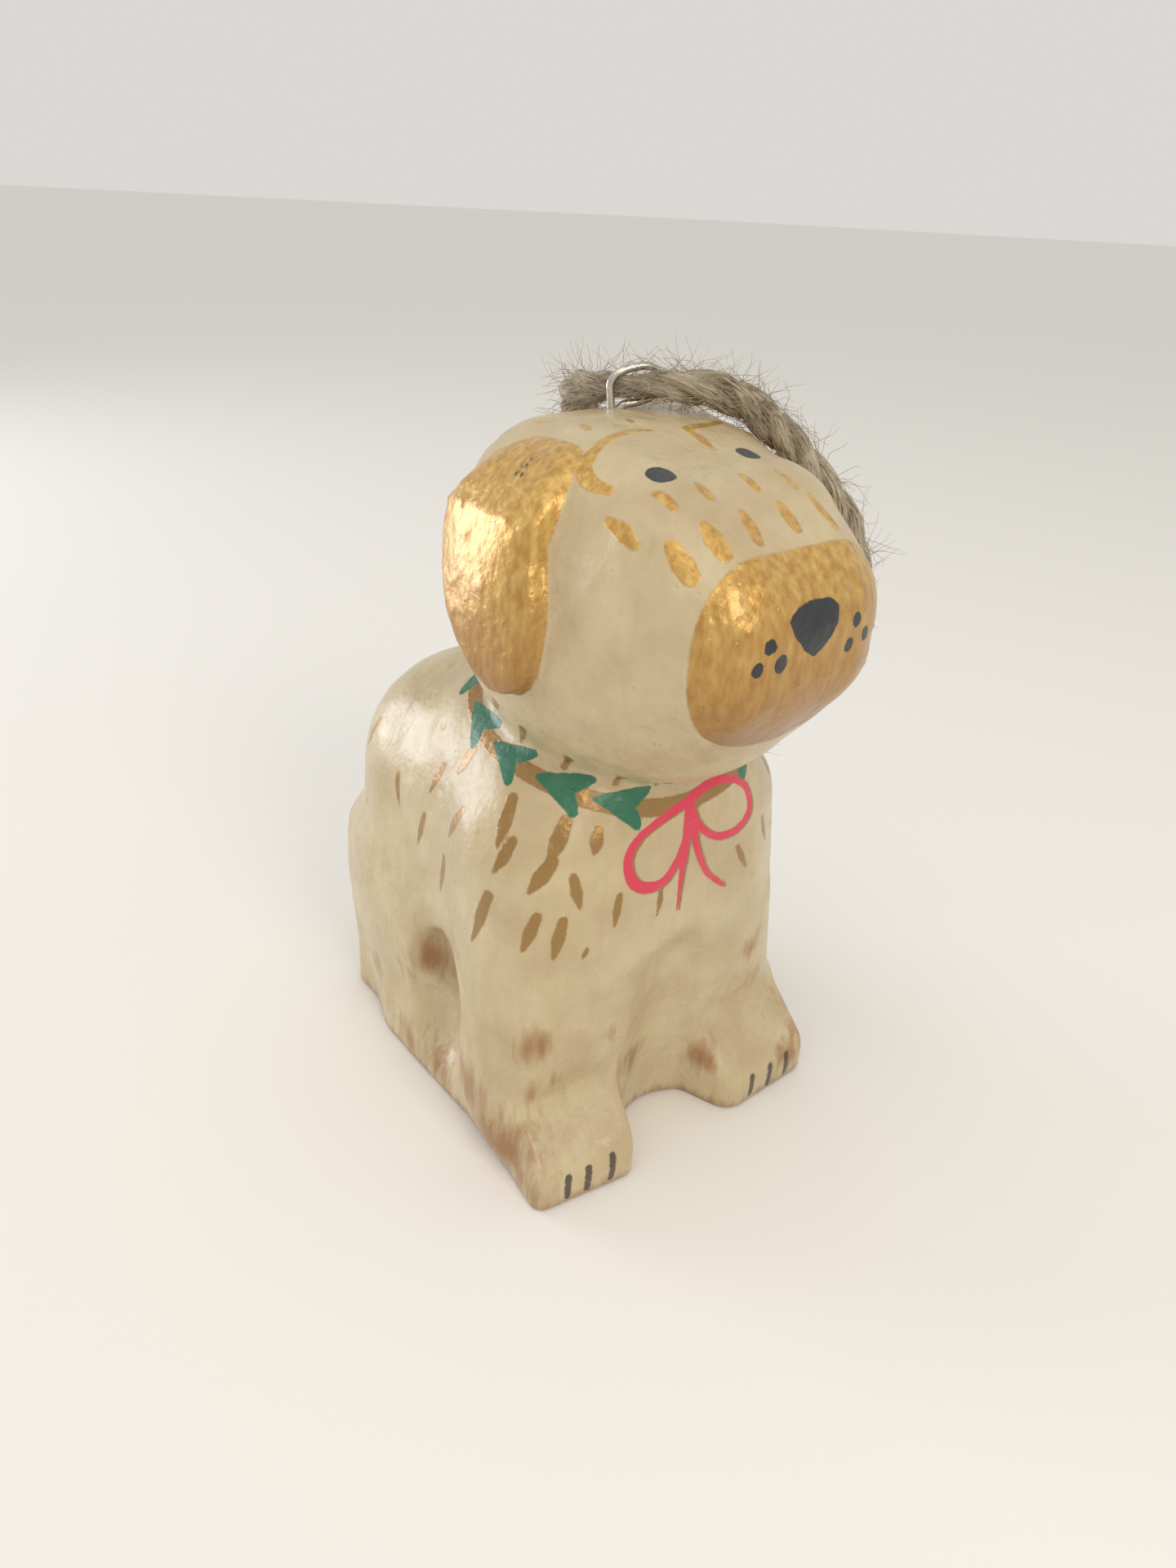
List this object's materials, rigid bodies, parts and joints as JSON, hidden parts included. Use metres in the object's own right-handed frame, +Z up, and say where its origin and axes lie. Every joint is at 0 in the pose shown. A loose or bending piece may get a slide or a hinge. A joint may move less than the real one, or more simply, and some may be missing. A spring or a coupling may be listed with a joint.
{
  "type": "wooden dog ornament",
  "caption": "Carved and painted wooden dog sitting upright on a flat sole, with a wire screw eye in its crown and a knotted loop of jute cord to hang it by.",
  "frame": {"origin": "on the flat sole, under the middle of the carving's box", "axes": "+Z up, the dog looks along -Y, its left side is at +X"},
  "size_m": [0.0579, 0.0785, 0.1054],
  "materials": {
    "painted_wood": "satin paint over carved wood",
    "steel_wire": "bright drawn wire",
    "jute": "matt twisted fibre"
  },
  "bodies": {
    "root": {"carved_dog": "painted_wood", "screw_eye": "steel_wire", "cord_loop": "jute", "cord_knot": "jute"}
  },
  "joints": []
}
